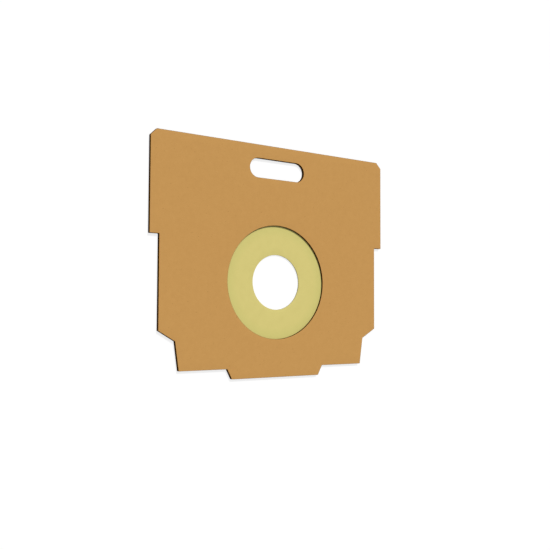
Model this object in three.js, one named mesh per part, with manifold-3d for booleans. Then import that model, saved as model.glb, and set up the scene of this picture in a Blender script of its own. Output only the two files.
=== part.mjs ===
// Mounting plate of a vacuum cleaner's dust bag, with its sealing ring.
//
// Two kraft boards are die-cut to one outline and glued face to face. A thin rubber ring is held
// between them, in a shallow seat pressed into the rear board, and shows through the round inlet.
// The cleaner's dust pipe goes through the ring, which closes round it. A finger slot near the top
// edge pulls the plate out of its guides, and the tab at the foot finds its place in the holder.
//
// The plate lies on its rear face. +X runs across it, +Y from the tab to the finger slot, and +Z
// out of the front face. The origin is on the rear face, at the middle of the outline's box.
// Sizes are in millimetres.

import * as THREE from "three";
import { mergeVertices } from "three/addons/utils/BufferGeometryUtils.js";
import Module from "manifold-3d";

// Outline, from the top edge down
const SHOULDER_WIDTH = 145;
const SHOULDER_HEIGHT = 50.5;
const TOP_CORNER_CUT = 3.2; // at 45 degrees
const BODY_WIDTH = 135;
const BODY_HEIGHT = 46.6;
const LOWER_CUT_HEIGHT = 5.2; // the slanted corner between the body and the skirt
const SKIRT_TOP_WIDTH = 117.3;
const SKIRT_FOOT_WIDTH = 113.2;
const SKIRT_HEIGHT = 14.5;
const TAB_ROOT_WIDTH = 59.4;
const TAB_END_WIDTH = 54;
const TAB_HEIGHT = 5.2;

// Finger slot
const SLOT_LENGTH = 34.2;
const SLOT_HEIGHT = 10.3;
const SLOT_BELOW_TOP = 12.3; // from the top edge to the slot's middle

// Dust inlet and sealing ring
const INLET_DIAMETER = 60;
const INLET_BELOW_TOP = 72.1; // from the top edge to the inlet's middle
const RING_BORE = 29;
const RING_THICKNESS = 0.5;
const RING_HELD_WIDTH = 6; // how far the ring reaches in between the boards, all round the inlet
const SEAT_CLEARANCE = 0.3; // between the ring's rim and the wall of its seat

// Boards
const FRONT_BOARD_THICKNESS = 1.05;
const REAR_BOARD_THICKNESS = 0.85;

// How finely the round edges are drawn
const INLET_STEPS = 96;
const SLOT_END_STEPS = 20;
const CUTTER_OVERSHOOT = 1; // how far a cutter stands out of the face that it cuts

const plateHeight = SHOULDER_HEIGHT + BODY_HEIGHT + LOWER_CUT_HEIGHT + SKIRT_HEIGHT + TAB_HEIGHT;
const topEdge = plateHeight / 2;
const slotY = topEdge - SLOT_BELOW_TOP;
const inletY = topEdge - INLET_BELOW_TOP;
const ringDiameter = INLET_DIAMETER + 2 * RING_HELD_WIDTH;
const ringBaseZ = REAR_BOARD_THICKNESS - RING_THICKNESS;

const kraftBoard = new THREE.MeshStandardMaterial({ color: 0xc49557, roughness: 0.9, metalness: 0 });
const sealRubber = new THREE.MeshStandardMaterial({ color: 0xd4c77c, roughness: 0.55, metalness: 0 });

const wasm = await Module();
wasm.setup();

// A closed geometry as a solid that can be joined and cut.
function toSolid(geometry) {
  const bare = geometry.clone();
  bare.deleteAttribute("normal");
  bare.deleteAttribute("uv");
  const merged = mergeVertices(bare, 1e-4);
  return new wasm.Manifold(
    new wasm.Mesh({
      numProp: 3,
      vertProperties: new Float32Array(merged.attributes.position.array),
      triVerts: new Uint32Array(merged.index.array),
    }),
  );
}

// A solid as a geometry that a mesh can carry.
function toGeometry(solid) {
  const { vertProperties, triVerts } = solid.getMesh();
  const geometry = new THREE.BufferGeometry();
  geometry.setAttribute("position", new THREE.BufferAttribute(vertProperties, 3));
  geometry.setIndex(new THREE.BufferAttribute(triVerts, 1));
  geometry.computeVertexNormals();
  return geometry;
}

// The right half's corners from the top edge to the tab's end. The left half is their mirror image.
function rightHalfCorners() {
  const stepY = topEdge - SHOULDER_HEIGHT;
  const bodyFootY = stepY - BODY_HEIGHT;
  const skirtTopY = bodyFootY - LOWER_CUT_HEIGHT;
  const skirtFootY = skirtTopY - SKIRT_HEIGHT;
  const tabEndY = skirtFootY - TAB_HEIGHT;
  return [
    [SHOULDER_WIDTH / 2 - TOP_CORNER_CUT, topEdge],
    [SHOULDER_WIDTH / 2, topEdge - TOP_CORNER_CUT],
    [SHOULDER_WIDTH / 2, stepY],
    [BODY_WIDTH / 2, stepY],
    [BODY_WIDTH / 2, bodyFootY],
    [SKIRT_TOP_WIDTH / 2, skirtTopY],
    [SKIRT_FOOT_WIDTH / 2, skirtFootY],
    [TAB_ROOT_WIDTH / 2, skirtFootY],
    [TAB_END_WIDTH / 2, tabEndY],
  ];
}

function arcPoints(x, y, radius, from, to, steps) {
  return new THREE.EllipseCurve(x, y, radius, radius, from, to).getPoints(steps);
}

function circlePath(y, diameter) {
  return new THREE.Path(arcPoints(0, y, diameter / 2, 0, 2 * Math.PI, INLET_STEPS).slice(0, -1));
}

function slotPath() {
  const endRadius = SLOT_HEIGHT / 2;
  const endX = SLOT_LENGTH / 2 - endRadius;
  return new THREE.Path([
    ...arcPoints(endX, slotY, endRadius, -Math.PI / 2, Math.PI / 2, SLOT_END_STEPS),
    ...arcPoints(-endX, slotY, endRadius, Math.PI / 2, (3 * Math.PI) / 2, SLOT_END_STEPS),
  ]);
}

function plateShape() {
  const right = rightHalfCorners();
  const left = right.map(([x, y]) => [-x, y]).reverse();
  const shape = new THREE.Shape([...right, ...left].map(([x, y]) => new THREE.Vector2(x, y)));
  shape.holes.push(slotPath(), circlePath(inletY, INLET_DIAMETER));
  return shape;
}

function extrude(shape, thickness) {
  return new THREE.ExtrudeGeometry(shape, { depth: thickness, bevelEnabled: false });
}

function disc(diameter, thickness) {
  const shape = new THREE.Shape(circlePath(inletY, diameter).getPoints());
  return extrude(shape, thickness);
}

function frontBoard() {
  const board = new THREE.Mesh(extrude(plateShape(), FRONT_BOARD_THICKNESS), kraftBoard);
  board.name = "front_board";
  board.position.z = REAR_BOARD_THICKNESS;
  return board;
}

// The seat is as deep as the ring is thick, so the ring lies flush with the board's front face.
function rearBoard() {
  const seatCutter = disc(ringDiameter + 2 * SEAT_CLEARANCE, RING_THICKNESS + CUTTER_OVERSHOOT);
  seatCutter.translate(0, 0, ringBaseZ);
  const solid = toSolid(extrude(plateShape(), REAR_BOARD_THICKNESS)).subtract(toSolid(seatCutter));
  const board = new THREE.Mesh(toGeometry(solid), kraftBoard);
  board.name = "rear_board";
  return board;
}

function sealingRing() {
  const shape = new THREE.Shape(circlePath(inletY, ringDiameter).getPoints());
  shape.holes.push(circlePath(inletY, RING_BORE));
  const ring = new THREE.Mesh(extrude(shape, RING_THICKNESS), sealRubber);
  ring.name = "sealing_ring";
  ring.position.z = ringBaseZ;
  return ring;
}

const mountingPlate = new THREE.Group();
mountingPlate.add(frontBoard(), rearBoard(), sealingRing());

export default mountingPlate;
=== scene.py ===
"""The looks of a vacuum dust bag's mounting plate: two die-cut kraft boards with a rubber sealing ring.

The plate lies on its rear face. +X runs across it, +Y from the foot tab to the finger slot, and +Z
out of the front face. Lengths are in metres, and those written with MM are in millimetres.
"""

import math

import bmesh
import bpy
import numpy as np
from mathutils import Matrix, Vector, noise
from mathutils.geometry import delaunay_2d_cdt


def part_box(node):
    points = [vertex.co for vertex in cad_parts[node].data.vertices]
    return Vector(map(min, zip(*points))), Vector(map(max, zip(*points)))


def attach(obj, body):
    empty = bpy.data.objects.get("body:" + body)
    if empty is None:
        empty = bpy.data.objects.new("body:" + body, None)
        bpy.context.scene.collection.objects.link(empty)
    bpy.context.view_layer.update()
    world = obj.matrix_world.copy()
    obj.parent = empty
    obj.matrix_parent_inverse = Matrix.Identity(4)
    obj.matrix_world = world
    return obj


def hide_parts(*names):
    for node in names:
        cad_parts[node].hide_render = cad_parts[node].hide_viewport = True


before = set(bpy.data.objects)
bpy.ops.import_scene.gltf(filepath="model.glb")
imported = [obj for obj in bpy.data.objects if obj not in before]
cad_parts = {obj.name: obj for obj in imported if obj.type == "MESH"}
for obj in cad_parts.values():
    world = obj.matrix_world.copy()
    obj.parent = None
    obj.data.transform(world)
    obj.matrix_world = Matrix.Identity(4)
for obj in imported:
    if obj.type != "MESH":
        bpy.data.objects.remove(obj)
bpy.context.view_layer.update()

MM = 0.001
WELD = 1e-6  # points nearer than this are one point

# Camera. Its place was worked out from the plate's corners, slot and round edges in the photograph.
CAMERA_PLACE = Vector((-204.1, -27.7, 312.9)) * MM
CAMERA_TARGET = Vector((-0.9, -11.2, 1.9)) * MM
CAMERA_ROLL = math.radians(0.27)
CAMERA_LENS = 46.06
CAMERA_SENSOR = 36
CAMERA_SHIFT = (-0.00125, 0.0135)
CAMERA_NEAR = 0.01

# Light
SKY_STRENGTH = 0.26
KEY_STRENGTH = 2.83
KEY_DIRECTION = Vector((0.12, 0.58, 0.81))  # from the plate towards the lamp
KEY_SPREAD = math.radians(14)

# Floor
FLOOR_HALF_WIDTH = 3
FLOOR_GAP = 0.02 * MM  # between the floor and the plate, so that they don't share a plane
FLOOR_WHITE = 1.02  # how bright the open floor looks to the camera: a touch over white
FLOOR_GLOW = 0.8  # the share of it that no shadow darkens
FLOOR_GREY = 0.8  # the floor's own colour, as the light meets it

# Colours, as they look on a screen, from 0 to 255
KRAFT = (196, 148, 84)
KRAFT_FIBRE_PALE = (212, 168, 104)
KRAFT_FIBRE_DARK = (174, 126, 66)
KRAFT_FLECK = (138, 94, 46)
# Painted shade: the cut edge's colours stand in for the shade on the boards' walls, and the seam
# between the plies is darker still
SHADED_CUT_EDGE = (80, 50, 12)
SHADED_CUT_EDGE_SEAM = (48, 28, 6)
RUBBER = (210, 197, 119)
# Painted shade: the ring's skin near the recess wall, a little darker and greener
RUBBER_SHADED_RIM = (205, 195, 116)
# Painted shade: the wall of the ring's opening
RUBBER_BORE_SHADE = (74, 66, 28)
RUBBER_CLOUD = (196, 184, 104)
RUBBER_BLOOM = (222, 212, 140)

# Fibres in the board's face: angle in degrees, length and width in millimetres, and colour
FIBRES = (
    (6, 2.6, 0.16, KRAFT_FIBRE_PALE),
    (72, 1.9, 0.14, KRAFT_FIBRE_DARK),
    (-38, 2.2, 0.13, KRAFT_FIBRE_PALE),
    (31, 1.8, 0.12, KRAFT_FIBRE_DARK),
    (-71, 2.0, 0.15, KRAFT_FIBRE_PALE),
)

# Layers of colour: the noise at which a layer sets in, the noise at which it is full, and how
# strongly it then covers what lies under it
KRAFT_MOTTLE = (0.35, 0.65, 0.1)
KRAFT_STRANDS = (0.64, 0.76, 0.45)
KRAFT_FLECKS = (0.72, 0.8, 0.5)
EDGE_PLIES = (0.4, 0.65, 1.0)
EDGE_TORN_FIBRES = (0.58, 0.8, 0.3)
RUBBER_CLOUDING = (0.4, 0.7, 0.14)
RUBBER_BLOOMING = (0.6, 0.8, 0.4)
BORE_GRAIN = (0.3, 0.7, 0.3)

# The ring's skin turns to its rim colour, a painted shade of the boards' recess, between these
# distances inside the inlet's edge
RIM_STARTS = 6 * MM
RIM_IS_FULL = 2 * MM

# How fine the outlines are drawn
EDGE_STEP = 0.8 * MM
CORNER_RADIUS = 0.3 * MM
CORNER_STEPS = 6
STRAIGHT = 0.02  # a corner that turns less than this, in radians, is part of a straight edge
ROUND_STEPS = 288
SLOT_END_STEPS = 36
FACE_GRID = 4 * MM
WHOLE_HULL = 0  # asks the triangulation for every triangle, inside the outline or not

# The die-cut edge of a board. The die presses the face's rim round, and the rim is painted dark in the
# cut edge's colour, as shade.
LIP_WIDTH = 0.12 * MM
LIP_DROP = 0.06 * MM
UNDER_LIP = 0.03 * MM
WALL_ROWS = 5
WALL_ROUGHNESS = 0.025 * MM
WALL_GRAIN = 1.1 * MM

# Marks on a board's points: how fully the cut edge's painted shade covers them
FACE = 0
CUT = 1

# From the flat face to the wall: the share of the lip's width that is left, the share of its drop
# that is reached, and the mark. The second one is for a rim that the other board is glued on.
LIP_PROFILE = (
    (1.0, 0.0, FACE),
    (0.62, 0.07, CUT),
    (0.34, 0.22, CUT),
    (0.12, 0.52, CUT),
    (0.0, 1.0, CUT),
)
GLUED_PROFILE = (
    (1.0, 0.0, CUT),
    (0.25, 0.25, CUT),
    (0.0, 1.0, CUT),
)
FACE_MATERIAL_REACH = 0.6 * LIP_DROP  # how far down the lip the face's material goes

# The sealing ring's soft edges
RING_SOFTNESS = 0.08 * MM
RING_SOFT_STEPS = 5
LEVEL_ENOUGH = 0.7  # a face whose normal stands up more than this is skin, not the bore's wall


def linear(colour):
    """A screen colour as the linear RGBA that a shader takes."""
    shares = [c / 255 for c in colour]
    return [s / 12.92 if s < 0.04045 else ((s + 0.055) / 1.055) ** 2.4 for s in shares] + [1.0]


# Outlines, read from the frame


def face_loops(node, top):
    """The edge loops of a node's top or bottom face, each with the solid on its left."""
    mesh = bmesh.new()
    mesh.from_mesh(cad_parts[node].data)
    bmesh.ops.remove_doubles(mesh, verts=mesh.verts, dist=WELD)
    low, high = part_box(node)
    level = high.z if top else low.z
    cap = [f for f in mesh.faces if all(abs(v.co.z - level) < WELD for v in f.verts)]
    following = {}
    for face in cap:
        for corner in face.loops:
            if not any(f in cap for f in corner.edge.link_faces if f is not face):
                following[corner.vert] = corner.link_loop_next.vert
    loops = []
    while following:
        start, vert = following.popitem()
        points = [start.co.xy.copy()]
        while vert is not start:
            points.append(vert.co.xy.copy())
            vert = following.pop(vert)
        loops.append(points if top else points[::-1])
    mesh.free()
    return loops


def loop_box(points):
    """The lowest corner and the size of a loop."""
    low = Vector((min(p.x for p in points), min(p.y for p in points)))
    high = Vector((max(p.x for p in points), max(p.y for p in points)))
    return low, high - low


def rounded_outline(points):
    """A closed outline with small round corners and even steps along its straight edges."""
    bends = []
    for before, corner, after in zip(points[-1:] + points[:-1], points, points[1:] + points[:1]):
        into, out = (corner - before).normalized(), (after - corner).normalized()
        turn = into.angle_signed(out)
        if abs(turn) > STRAIGHT:
            bends.append((corner, into, out, turn))
    outline = []
    for corner, into, out, turn in bends:
        reach = CORNER_RADIUS * math.tan(abs(turn) / 2)
        start = corner - into * reach
        if outline:
            outline += straight_steps(outline[-1], start)
        side = -1 if turn > 0 else 1
        centre = start + side * CORNER_RADIUS * Vector((-into.y, into.x))
        for step in range(CORNER_STEPS + 1):
            spoke = start - centre
            spoke.rotate(Matrix.Rotation(-turn * step / CORNER_STEPS, 2))
            outline.append(centre + spoke)
    return outline + straight_steps(outline[-1], outline[0])


def straight_steps(start, end):
    """Points between two ends, without the ends."""
    count = max(1, round((end - start).length / EDGE_STEP))
    return [start.lerp(end, step / count) for step in range(1, count)]


def circle(centre, radius):
    """A circle with its outside on the left, as the edge of a hole has the solid on its left."""
    angles = [-2 * math.pi * step / ROUND_STEPS for step in range(ROUND_STEPS)]
    return [centre + radius * Vector((math.cos(a), math.sin(a))) for a in angles]


def obround(low, size):
    """The edge of a slot with round ends, with its outside on the left."""
    radius = size.y / 2
    middle = low.y + radius
    right_end = (low.x + size.x - radius, 0.5)  # the arc's middle, and its first angle as a share of pi
    left_end = (low.x + radius, -0.5)
    outline = []
    for end_x, first in (right_end, left_end):
        end = Vector((end_x, middle))
        if outline:
            outline += straight_steps(outline[-1], end - Vector((0, radius)))
        for step in range(SLOT_END_STEPS + 1):
            angle = math.pi * (first - step / SLOT_END_STEPS)
            outline.append(end + radius * Vector((math.cos(angle), math.sin(angle))))
    return outline + straight_steps(outline[-1], outline[0])


def plate_loops(node):
    """The smooth outline, slot and inlet of a board's front face, by name."""
    loops = sorted(face_loops(node, top=True), key=lambda points: -loop_box(points)[1].x)
    outer, inlet, slot = loops
    low, size = loop_box(inlet)
    return {
        "outer": rounded_outline(outer),
        "slot": obround(*loop_box(slot)),
        "inlet": circle(low + size / 2, size.x / 2),
    }


# Meshes


def into_solid(loop):
    """A unit vector at each point of a loop, square to it and into the solid on its left."""
    ways = []
    for before, after in zip(loop[-1:] + loop[:-1], loop[1:] + loop[:1]):
        along = (after - before).normalized()
        ways.append(Vector((-along.y, along.x)))
    return ways


def add_rows(mesh, loop, profile):
    """Rows of points along a loop, one for each (inset, height, roughness, mark), joined by faces."""
    ways = into_solid(loop)
    shade_marks = mesh.verts.layers.float.get("shade_mark") or mesh.verts.layers.float.new("shade_mark")
    rows = []
    for inset, height, roughness, shade_mark in profile:
        row = []
        for point, way in zip(loop, ways):
            grain = 0.5 + 0.5 * noise.noise(Vector((point.x, point.y, height)) / WALL_GRAIN)
            place = point + way * (inset + roughness * grain)
            vert = mesh.verts.new((place.x, place.y, height))
            vert[shade_marks] = shade_mark
            row.append(vert)
        rows.append(row)
    for lower, upper in zip(rows, rows[1:]):
        join_rows(mesh, lower, upper)
    return rows


def join_rows(mesh, lower, upper):
    """Faces between two closed rows of as many points."""
    pairs = list(zip(lower, upper))
    for (a, d), (b, c) in zip(pairs, pairs[1:] + pairs[:1]):
        mesh.faces.new((a, b, c, d))


def close_face(mesh, rows, up):
    """A flat face between closed rows of points at one height, filled with even triangles."""
    edge = [vert for row in rows for vert in row]
    links = []
    for row in rows:
        first = links[-1][0] + 1 if links else 0
        links += [(first + i, first + (i + 1) % len(row)) for i in range(len(row))]
    flat = np.array([vert.co.xy for vert in edge])
    starts, ends = flat, flat[[b for _, b in links]]
    grid = grid_points(starts, ends)
    height = edge[0].co.z
    verts = edge + [mesh.verts.new((x, y, height)) for x, y in grid]
    points = np.vstack([flat, grid])
    spots = [Vector(point) for point in points]
    _, _, triangles, origins, _, _ = delaunay_2d_cdt(spots, links, [], WHOLE_HULL, WELD / 10)
    triangles = [[origins[i][0] for i in triangle] for triangle in triangles]
    middles = points[triangles].mean(1)
    for corners, kept in zip(triangles, lies_inside(middles, starts, ends)):
        if kept:
            mesh.faces.new([verts[i] for i in (corners if up else corners[::-1])])


def lies_inside(spots, starts, ends):
    """Whether each spot lies inside an outline and outside its holes, given as edges.

    A line from the spot towards +X then crosses an odd number of edges.
    """
    x, y = spots[:, :1], spots[:, 1:]
    crosses = (starts[:, 1] > y) != (ends[:, 1] > y)
    rise = np.where(ends[:, 1] == starts[:, 1], 1, ends[:, 1] - starts[:, 1])
    at_x = starts[:, 0] + (y - starts[:, 1]) * (ends[:, 0] - starts[:, 0]) / rise
    return (crosses & (x < at_x)).sum(1) % 2 == 1


def grid_points(starts, ends):
    """Even points inside an outline and outside its holes, and not too near to their edges."""
    low, high = starts.min(0), starts.max(0)
    spots = []
    for line, y in enumerate(np.arange(low[1], high[1], FACE_GRID * math.sin(math.pi / 3))):
        for x in np.arange(low[0] + line % 2 * FACE_GRID / 2, high[0], FACE_GRID):
            spots.append((x, y))
    spots = np.array(spots)
    near = np.hypot(spots[:, :1] - starts[:, 0], spots[:, 1:] - starts[:, 1]).min(1) < FACE_GRID / 2
    return spots[lies_inside(spots, starts, ends) & ~near]


def cut_edge(bottom, top, lip_below, lip_above):
    """The rows of a die-cut edge from the bottom to the top face, with a lip at a face that shows."""
    below = lip(bottom, 1) if lip_below else glued_rim(bottom, 1)
    above = lip(top, -1) if lip_above else glued_rim(top, -1)
    low, high = below[-1][1], above[-1][1]
    heights = [low + (high - low) * row / (WALL_ROWS + 1) for row in range(1, WALL_ROWS + 1)]
    return below + [(0, height, WALL_ROUGHNESS, CUT) for height in heights] + above[::-1]


def rim_profile(profile, width, drop, face, way):
    """The rows of a rim, from the flat face to the wall. way is 1 where the wall is above the face."""
    return [(width * inset, face + way * drop * depth, 0, shade_mark) for inset, depth, shade_mark in profile]


def lip(face, way):
    """The rows of a pressed lip."""
    return rim_profile(LIP_PROFILE, LIP_WIDTH, LIP_DROP, face, way)


def glued_rim(face, way):
    """The rows of a rim that the other board is glued on."""
    return rim_profile(GLUED_PROFILE, UNDER_LIP, UNDER_LIP, face, way)


def finished(name, mesh, node, slot, *materials):
    """An object made of a finished bmesh. It rides with the plate and stands for a node."""
    bmesh.ops.recalc_face_normals(mesh, faces=mesh.faces)
    data = bpy.data.meshes.new(name)
    mesh.to_mesh(data)
    mesh.free()
    for material in materials:
        data.materials.append(material)
    piece = bpy.data.objects.new(name, data)
    bpy.context.scene.collection.objects.link(piece)
    data.shade_smooth()
    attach(piece, "root")
    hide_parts(node)
    return piece


def give_wall_material(piece, face):
    """Gives the cut-edge material to the faces of a board that lie deeper than its lip."""
    for polygon in piece.data.polygons:
        polygon.material_index = 1 if abs(polygon.center.z - face) > FACE_MATERIAL_REACH else 0


def front_board(kraft, edge):
    """The board with the face that shows, a lip at that face and a glued rim under it."""
    low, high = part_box("front_board")
    mesh = bmesh.new()
    profile = cut_edge(low.z, high.z, lip_below=False, lip_above=True)
    stacks = [add_rows(mesh, loop, profile) for loop in plate_loops("front_board").values()]
    close_face(mesh, [rows[0] for rows in stacks], up=False)
    close_face(mesh, [rows[-1] for rows in stacks], up=True)
    piece = finished("front_board_card", mesh, "front_board", "kraft_board", kraft, edge)
    give_wall_material(piece, high.z)
    return piece


def rear_board(kraft, edge):
    """The board that lies on the floor, with the ring's seat in its top."""
    low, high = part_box("rear_board")
    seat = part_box("sealing_ring")[0].z
    loops = plate_loops("rear_board")
    centre, rim = hole_in("rear_board", top=True)
    _, inlet = hole_in("rear_board", top=False)
    mesh = bmesh.new()
    profile = cut_edge(low.z, high.z, lip_below=True, lip_above=False)
    stacks = [add_rows(mesh, loops[name], profile) for name in ("outer", "slot")]
    inlet_profile = cut_edge(low.z, seat, lip_below=True, lip_above=False)
    inlet_rows = add_rows(mesh, circle(centre, inlet), inlet_profile)
    rim_rows = add_rows(mesh, circle(centre, rim), [(0, seat, 0, FACE), (0, high.z, 0, FACE)])
    join_rows(mesh, inlet_rows[-1], rim_rows[0])
    close_face(mesh, [rows[0] for rows in stacks + [inlet_rows]], up=False)
    close_face(mesh, [rows[-1] for rows in stacks + [rim_rows]], up=True)
    piece = finished("rear_board_card", mesh, "rear_board", "kraft_board", kraft, edge)
    give_wall_material(piece, low.z)
    return piece


def hole_in(node, top):
    """The centre and radius of the widest round hole in a node's top or bottom face."""
    loops = sorted(face_loops(node, top), key=lambda points: -loop_box(points)[1].x)
    low, size = loop_box(loops[1])
    return low + size / 2, size.x / 2


def sealing_ring(rubber, bore_rubber):
    """The rubber ring, soft at all its edges."""
    low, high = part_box("sealing_ring")
    centre, bore = hole_in("sealing_ring", top=True)
    radius = (high.x - low.x) / 2
    mesh = bmesh.new()
    turns = [math.pi / 2 * step / RING_SOFT_STEPS for step in range(RING_SOFT_STEPS + 1)]
    rounding = [(RING_SOFTNESS * (1 - math.sin(a)), RING_SOFTNESS * (1 - math.cos(a))) for a in turns]
    below = [(inset, low.z + rise, 0, FACE) for inset, rise in rounding]
    above = [(inset, high.z - rise, 0, FACE) for inset, rise in rounding[::-1]]
    bore_rows = add_rows(mesh, circle(centre, bore), below + above)
    rim = circle(centre, radius)[::-1]
    rim_rows = add_rows(mesh, rim, below + above)
    close_face(mesh, [bore_rows[0], rim_rows[0]], up=False)
    close_face(mesh, [bore_rows[-1], rim_rows[-1]], up=True)
    piece = finished("sealing_ring_rubber", mesh, "sealing_ring", "seal_rubber", rubber, bore_rubber)
    for polygon in piece.data.polygons:
        in_bore = (polygon.center.xy - centre).length < bore + RING_SOFTNESS
        polygon.material_index = 1 if in_bore and abs(polygon.normal.z) < LEVEL_ENOUGH else 0
    return piece


# Materials


def add_node(tree, kind, inputs=None, **settings):
    """Adds a shader node. An input is either a number or colour, or the socket that feeds it."""
    made = tree.nodes.new(kind)
    for name, value in settings.items():
        setattr(made, name, value)
    for name, value in (inputs or {}).items():
        if isinstance(value, bpy.types.NodeSocket):
            tree.links.new(value, made.inputs[name])
        else:
            made.inputs[name].default_value = value
    return made


def new_material(name):
    """A material with its node tree and its shader."""
    material = bpy.data.materials.new(name)
    material.use_nodes = True
    return material, material.node_tree, material.node_tree.nodes["Principled BSDF"]


def grains(tree, size=(1, 1, 1), turn=0.0):
    """The place on the object, counted in grains of a size in millimetres that lie at an angle."""
    place = add_node(tree, "ShaderNodeTexCoord").outputs["Object"]
    mapping = {"Vector": place, "Rotation": (0, 0, math.radians(turn)), "Scale": [s * MM for s in size]}
    return add_node(tree, "ShaderNodeMapping", mapping, vector_type="TEXTURE").outputs["Vector"]


def noise_at(tree, place, scale, detail, roughness, distortion=0.0):
    """A noise with about so many waves to a grain. Its values lie mostly between 0.2 and 0.8."""
    inputs = {"Vector": place, "Scale": scale, "Detail": detail}
    inputs |= {"Roughness": roughness, "Distortion": distortion}
    return add_node(tree, "ShaderNodeTexNoise", inputs).outputs["Fac"]


def between(tree, value, low, high, to_low=0.0, to_high=1.0):
    """A value taken from one range to another, and held within it. A limit may be a socket."""
    inputs = {"Value": value, "From Min": low, "From Max": high, "To Min": to_low, "To Max": to_high}
    return add_node(tree, "ShaderNodeMapRange", inputs).outputs["Result"]


def mixed(tree, factor, first, second):
    """Two colours mixed by a factor. A Mix node's sockets for colours go by their numbers."""
    inputs = {0: factor, 6: first, 7: second}
    return add_node(tree, "ShaderNodeMix", inputs, data_type="RGBA").outputs[2]


def layer(tree, value, limits, ground, coat):
    """A colour that another covers where a noise is high. The limits are a row of the layers above."""
    sets_in, full, strength = limits
    return mixed(tree, between(tree, value, sets_in, full, 0.0, strength), ground, linear(coat))


def add_bump(tree, shader, height, strength, depth):
    """Gives a shader fine relief of a depth in metres."""
    inputs = {"Height": height, "Strength": strength, "Distance": depth}
    bump = add_node(tree, "ShaderNodeBump", inputs)
    tree.links.new(bump.outputs["Normal"], shader.inputs["Normal"])


def fibres(tree, turn, length, width):
    """A noise drawn out to fibres of about a length and width in millimetres, at an angle."""
    along = grains(tree, (length, width, 1), turn)
    return noise_at(tree, along, scale=1.0, detail=2, roughness=0.55, distortion=0.4)


def kraft_material():
    """Unbleached board: fine fibres at every angle, a soft mottle, a few dark flecks, and painted shade
    on the lip.
    """
    material, tree, shader = new_material("kraft_board_face")
    mottle = noise_at(tree, grains(tree), scale=0.35, detail=3, roughness=0.55)
    flecks = noise_at(tree, grains(tree, (1.1, 0.6, 1), turn=25), scale=1.0, detail=1, roughness=0.4)
    colour = layer(tree, mottle, KRAFT_MOTTLE, linear(KRAFT), KRAFT_FIBRE_DARK)
    for turn, length, width, fibre in FIBRES:
        colour = layer(tree, fibres(tree, turn, length, width), KRAFT_STRANDS, colour, fibre)
    colour = layer(tree, flecks, KRAFT_FLECKS, colour, KRAFT_FLECK)
    # Painted shade: the lip darkens to the cut edge's colour by its mark
    shade_mark = add_node(tree, "ShaderNodeAttribute", attribute_name="shade_mark").outputs["Fac"]
    colour = mixed(tree, between(tree, shade_mark, FACE, CUT), colour, linear(SHADED_CUT_EDGE))
    tree.links.new(colour, shader.inputs["Base Color"])
    felt = fibres(tree, turn=20, length=1.4, width=0.3)
    tree.links.new(between(tree, felt, 0.3, 0.7, 0.84, 0.94), shader.inputs["Roughness"])
    shader.inputs["Specular IOR Level"].default_value = 0.2
    add_bump(tree, shader, felt, strength=0.1, depth=0.02 * MM)
    return material


def shaded_edge_material():
    """The board's cut edge, painted near black as the shade on its walls, with the board's plies as
    fine darker lines.
    """
    material, tree, shader = new_material("kraft_board_shaded_edge")
    plies = noise_at(tree, grains(tree, (3, 3, 0.14)), scale=1.0, detail=2, roughness=0.6)
    torn = noise_at(tree, grains(tree), scale=2.6, detail=3, roughness=0.6)
    # The cut edge's colour is painted shade, with the plies' seam darker
    colour = layer(tree, plies, EDGE_PLIES, linear(SHADED_CUT_EDGE), SHADED_CUT_EDGE_SEAM)
    colour = layer(tree, torn, EDGE_TORN_FIBRES, colour, KRAFT_FIBRE_DARK)
    tree.links.new(colour, shader.inputs["Base Color"])
    shader.inputs["Roughness"].default_value = 0.95
    shader.inputs["Specular IOR Level"].default_value = 0.0
    add_bump(tree, shader, torn, strength=0.5, depth=0.04 * MM)
    return material


def rubber_material():
    """Soft pale rubber with a faint bloom, painted a little darker and greener towards the inlet's wall
    as shade of the recess.
    """
    material, tree, shader = new_material("seal_rubber_skin")
    low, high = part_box("sealing_ring")
    middle = (low + high) / 2
    place = add_node(tree, "ShaderNodeTexCoord").outputs["Object"]
    offset = add_node(tree, "ShaderNodeVectorMath", {0: place, 1: middle}, operation="SUBTRACT")
    reach = add_node(tree, "ShaderNodeVectorMath", {0: offset.outputs[0]}, operation="LENGTH")
    inlet = hole_in("rear_board", top=False)[1]
    # Painted shade: the skin darkens towards the wall of the boards' recess
    rim = between(tree, reach.outputs["Value"], inlet - RIM_STARTS, inlet - RIM_IS_FULL)
    cloud = noise_at(tree, grains(tree), scale=0.25, detail=3, roughness=0.5)
    skin = noise_at(tree, grains(tree), scale=3.0, detail=2, roughness=0.5)
    bloom = noise_at(tree, grains(tree, (0.5, 0.5, 1)), scale=1.0, detail=2, roughness=0.6)
    colour = mixed(tree, rim, linear(RUBBER), linear(RUBBER_SHADED_RIM))
    colour = layer(tree, cloud, RUBBER_CLOUDING, colour, RUBBER_CLOUD)
    colour = layer(tree, bloom, RUBBER_BLOOMING, colour, RUBBER_BLOOM)
    tree.links.new(colour, shader.inputs["Base Color"])
    tree.links.new(between(tree, cloud, 0.3, 0.7, 0.5, 0.62), shader.inputs["Roughness"])
    shader.inputs["Specular IOR Level"].default_value = 0.3
    add_bump(tree, shader, skin, strength=0.2, depth=0.02 * MM)
    return material


def shaded_bore_material():
    """The wall of the ring's opening, painted dark as the shade it shows."""
    material, tree, shader = new_material("seal_rubber_bore_shade")
    grain = noise_at(tree, grains(tree), scale=4.0, detail=2, roughness=0.5)
    # Painted shade: the bore's wall is dark, with paler grain
    colour = layer(tree, grain, BORE_GRAIN, linear(RUBBER_BORE_SHADE), RUBBER_SHADED_RIM)
    tree.links.new(colour, shader.inputs["Base Color"])
    shader.inputs["Roughness"].default_value = 0.8
    shader.inputs["Specular IOR Level"].default_value = 0.2
    add_bump(tree, shader, grain, strength=0.3, depth=0.03 * MM)
    return material


# Studio


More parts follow.
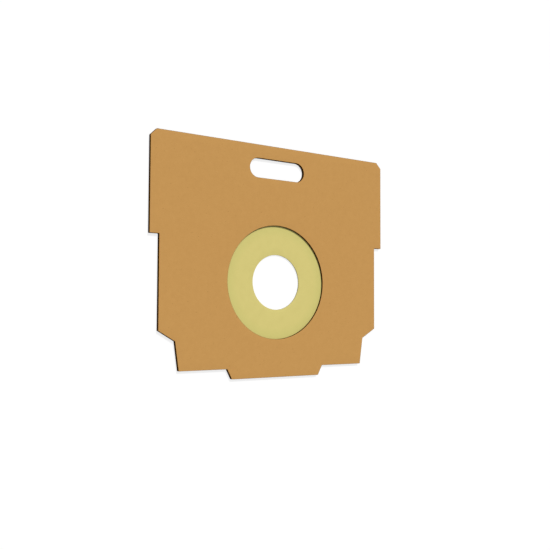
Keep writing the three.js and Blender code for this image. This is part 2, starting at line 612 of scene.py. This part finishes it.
def seen_as_backdrop(tree):
    """1 for a ray that shows the backdrop, straight or in gloss or glass, and 0 for a ray of light."""
    path = add_node(tree, "ShaderNodeLightPath").outputs
    shown = path["Is Camera Ray"]
    for ray in ("Is Glossy Ray", "Is Transmission Ray"):
        either = {0: shown, 1: path[ray]}
        shown = add_node(tree, "ShaderNodeMath", either, operation="MAXIMUM").outputs[0]
    return shown


def floor_material():
    """A pale floor that the camera sees as white where no shadow falls."""
    material, tree, shader = new_material("studio_floor")
    seen = seen_as_backdrop(tree)
    matt = FLOOR_WHITE - FLOOR_GLOW
    colour = mixed(tree, seen, (FLOOR_GREY, FLOOR_GREY, FLOOR_GREY, 1), (matt, matt, matt, 1))
    tree.links.new(colour, shader.inputs["Base Color"])
    shader.inputs["Roughness"].default_value = 1.0
    shader.inputs["Specular IOR Level"].default_value = 0.0
    shader.inputs["Emission Color"].default_value = (1, 1, 1, 1)
    tree.links.new(between(tree, seen, 0, 1, 0, FLOOR_GLOW), shader.inputs["Emission Strength"])
    return material


def studio():
    """The floor, the sky and the lamp."""
    mesh = bmesh.new()
    bmesh.ops.create_grid(mesh, x_segments=1, y_segments=1, size=FLOOR_HALF_WIDTH)
    data = bpy.data.meshes.new("studio_floor")
    mesh.to_mesh(data)
    mesh.free()
    data.materials.append(floor_material())
    floor = bpy.data.objects.new("studio_floor", data)
    floor.location.z = -FLOOR_GAP
    bpy.context.scene.collection.objects.link(floor)

    world = bpy.data.worlds.new("studio_sky")
    world.use_nodes = True
    tree = world.node_tree
    seen = seen_as_backdrop(tree)
    strength = between(tree, seen, 0, 1, SKY_STRENGTH, 1.0)
    tree.links.new(strength, tree.nodes["Background"].inputs["Strength"])
    tree.nodes["Background"].inputs["Color"].default_value = (1, 1, 1, 1)
    bpy.context.scene.world = world

    lamp = bpy.data.lights.new("key_light", "SUN")
    lamp.energy = KEY_STRENGTH
    lamp.angle = KEY_SPREAD
    key = bpy.data.objects.new("key_light", lamp)
    key.rotation_euler = KEY_DIRECTION.to_track_quat("Z", "Y").to_euler()
    bpy.context.scene.collection.objects.link(key)


def camera():
    """The photograph's camera. It is nearly upright: the plate's +Y is up, before the small roll."""
    data = bpy.data.cameras.new("photo_camera")
    data.lens = CAMERA_LENS
    data.sensor_width = CAMERA_SENSOR
    data.sensor_fit = "HORIZONTAL"
    data.shift_x, data.shift_y = CAMERA_SHIFT
    data.clip_start = CAMERA_NEAR
    eye = bpy.data.objects.new("photo_camera", data)
    back = (CAMERA_PLACE - CAMERA_TARGET).normalized()
    right = Vector((0, 1, 0)).cross(back).normalized()
    up = back.cross(right)
    turn = Matrix((right, up, back)).transposed().to_4x4() @ Matrix.Rotation(CAMERA_ROLL, 4, "Z")
    eye.matrix_world = Matrix.Translation(CAMERA_PLACE) @ turn
    bpy.context.scene.collection.objects.link(eye)
    bpy.context.scene.camera = eye


camera()
studio()
kraft = kraft_material()
edge = shaded_edge_material()
front_board(kraft, edge)
rear_board(kraft, edge)
sealing_ring(rubber_material(), shaded_bore_material())

bpy.context.scene.view_settings.view_transform = "Standard"
